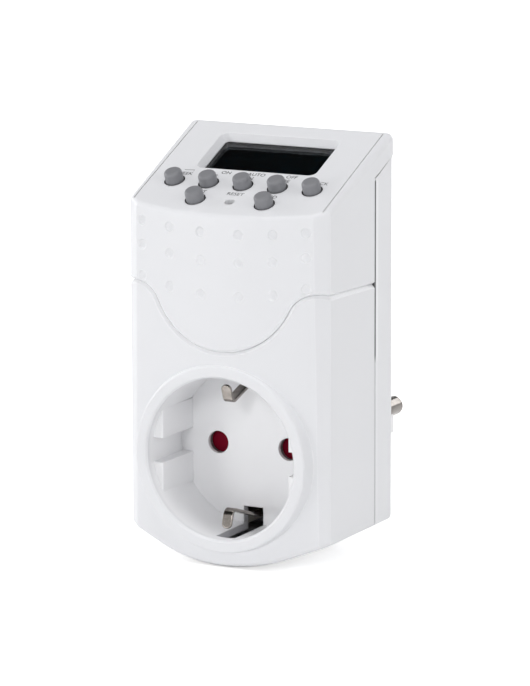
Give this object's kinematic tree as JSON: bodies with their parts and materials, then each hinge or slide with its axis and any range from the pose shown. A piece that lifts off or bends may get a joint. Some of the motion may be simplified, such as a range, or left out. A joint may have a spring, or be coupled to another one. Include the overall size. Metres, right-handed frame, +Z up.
{
  "type": "digital plug-in timer",
  "caption": "Socket timer that plugs into a wall socket: recessed earthed socket, sloping control face with display and push buttons, plug body with pins behind.",
  "frame": {"origin": "centre of the plug's end face, midway between the two pins", "axes": "+X right when facing the front, +Y into the wall along the plug pins, +Z up"},
  "size_m": [0.0544, 0.0756, 0.1008],
  "materials": {
    "white_housing": "fine satin moulding",
    "white_cover": "fine satin moulding",
    "carrier_plastic": "satin",
    "screw_steel": "zinc plated",
    "shutter_red": "satin",
    "spring_steel": "bright",
    "nickel": "polished nickel",
    "contact_brass": "satin",
    "silicone": "matt",
    "black_plastic": "matt",
    "button_grey": "satin",
    "lens": "clear, polished",
    "frame_grey": "satin",
    "lcd": "dark gloss",
    "zebra_rubber": "matt",
    "board_green": "satin lacquer",
    "battery_steel": "satin",
    "board_brown": "satin",
    "capacitor_yellow": "gloss",
    "capacitor_sleeve": "gloss",
    "varistor_blue": "gloss",
    "resistor_blue": "gloss"
  },
  "bodies": {
    "case": {"socket_housing": "white_housing", "control_cover": "white_cover", "rear_cover": "white_housing", "contact_carrier": "carrier_plastic", "carrier_screws": "screw_steel", "housing_screws": "screw_steel", "shutter_spring": "spring_steel", "live_plug_pin": "nickel", "neutral_plug_pin": "nickel", "live_socket_contact": "contact_brass", "neutral_socket_contact": "contact_brass", "live_input_strip": "contact_brass", "live_output_strip": "contact_brass", "neutral_strip": "contact_brass", "earth_strap": "contact_brass", "plug_earth_contacts": "nickel", "keypad_mat": "silicone", "reset_switch": "black_plastic", "display_lens": "lens", "lcd_frame": "frame_grey", "lcd_panel": "lcd", "zebra_strips": "zebra_rubber", "display_board": "board_green", "display_board_screws": "screw_steel", "controller_chip": "black_plastic", "crystal": "spring_steel", "backup_battery": "battery_steel", "power_board": "board_brown", "power_board_screws": "screw_steel", "relay": "black_plastic", "film_capacitor": "capacitor_yellow", "filter_capacitor": "capacitor_sleeve", "varistor": "varistor_blue", "rectifier_diodes": "black_plastic", "resistors": "resistor_blue", "relay_transistor": "black_plastic", "link_header": "black_plastic"},
    "shutter": {"child_shutter": "shutter_red"},
    "upper_clip": {"upper_earth_clip": "nickel"},
    "lower_clip": {"lower_earth_clip": "nickel"},
    "reset": {"reset_plunger": "button_grey"},
    "week": {"week_button": "button_grey", "week_contact_pill": "zebra_rubber"},
    "hour": {"hour_button": "button_grey", "hour_contact_pill": "zebra_rubber"},
    "minute": {"minute_button": "button_grey", "minute_contact_pill": "zebra_rubber"},
    "mode": {"mode_button": "button_grey", "mode_contact_pill": "zebra_rubber"},
    "clock": {"clock_button": "button_grey", "clock_contact_pill": "zebra_rubber"},
    "timer": {"timer_button": "button_grey", "timer_contact_pill": "zebra_rubber"},
    "random": {"random_button": "button_grey", "random_contact_pill": "zebra_rubber"}
  },
  "joints": [
    {"name": "week_press", "type": "slide", "parent": "case", "child": "week", "axis": [0, 0.4083, -0.9128], "range_m": [0, 0.00115], "stiffness_N_per_m": 1200, "deforming": ["keypad_mat"]},
    {"name": "hour_press", "type": "slide", "parent": "case", "child": "hour", "axis": [0, 0.4083, -0.9128], "range_m": [0, 0.00115], "stiffness_N_per_m": 1200, "deforming": ["keypad_mat"]},
    {"name": "minute_press", "type": "slide", "parent": "case", "child": "minute", "axis": [0, 0.4083, -0.9128], "range_m": [0, 0.00115], "stiffness_N_per_m": 1200, "deforming": ["keypad_mat"]},
    {"name": "mode_press", "type": "slide", "parent": "case", "child": "mode", "axis": [0, 0.4083, -0.9128], "range_m": [0, 0.00115], "stiffness_N_per_m": 1200, "deforming": ["keypad_mat"]},
    {"name": "clock_press", "type": "slide", "parent": "case", "child": "clock", "axis": [0, 0.4083, -0.9128], "range_m": [0, 0.00115], "stiffness_N_per_m": 1200, "deforming": ["keypad_mat"]},
    {"name": "timer_press", "type": "slide", "parent": "case", "child": "timer", "axis": [0, 0.4083, -0.9128], "range_m": [0, 0.00115], "stiffness_N_per_m": 1200, "deforming": ["keypad_mat"]},
    {"name": "random_press", "type": "slide", "parent": "case", "child": "random", "axis": [0, 0.4083, -0.9128], "range_m": [0, 0.00115], "stiffness_N_per_m": 1200, "deforming": ["keypad_mat"]},
    {"name": "reset_press", "type": "slide", "parent": "case", "child": "reset", "axis": [0, 0.4083, -0.9128], "range_m": [0, 0.0003], "stiffness_N_per_m": 3000},
    {"name": "shutter_turn", "type": "hinge", "parent": "case", "child": "shutter", "pos_m": [0, -0.0355, 0], "axis": [0, 1, 0], "range_deg": [0, 38], "stiffness_Nm_per_rad": 0.02, "deforming": ["shutter_spring"]},
    {"name": "lower_clip_spread", "type": "hinge", "parent": "case", "child": "lower_clip", "pos_m": [0, -0.0291, -0.0172], "axis": [1, 0, 0], "range_deg": [0, 8], "stiffness_Nm_per_rad": 1.6},
    {"name": "upper_clip_spread", "type": "hinge", "parent": "case", "child": "upper_clip", "pos_m": [0, -0.0291, 0.0172], "axis": [-1, 0, 0], "range_deg": [0, 8], "stiffness_Nm_per_rad": 1.6}
  ]
}
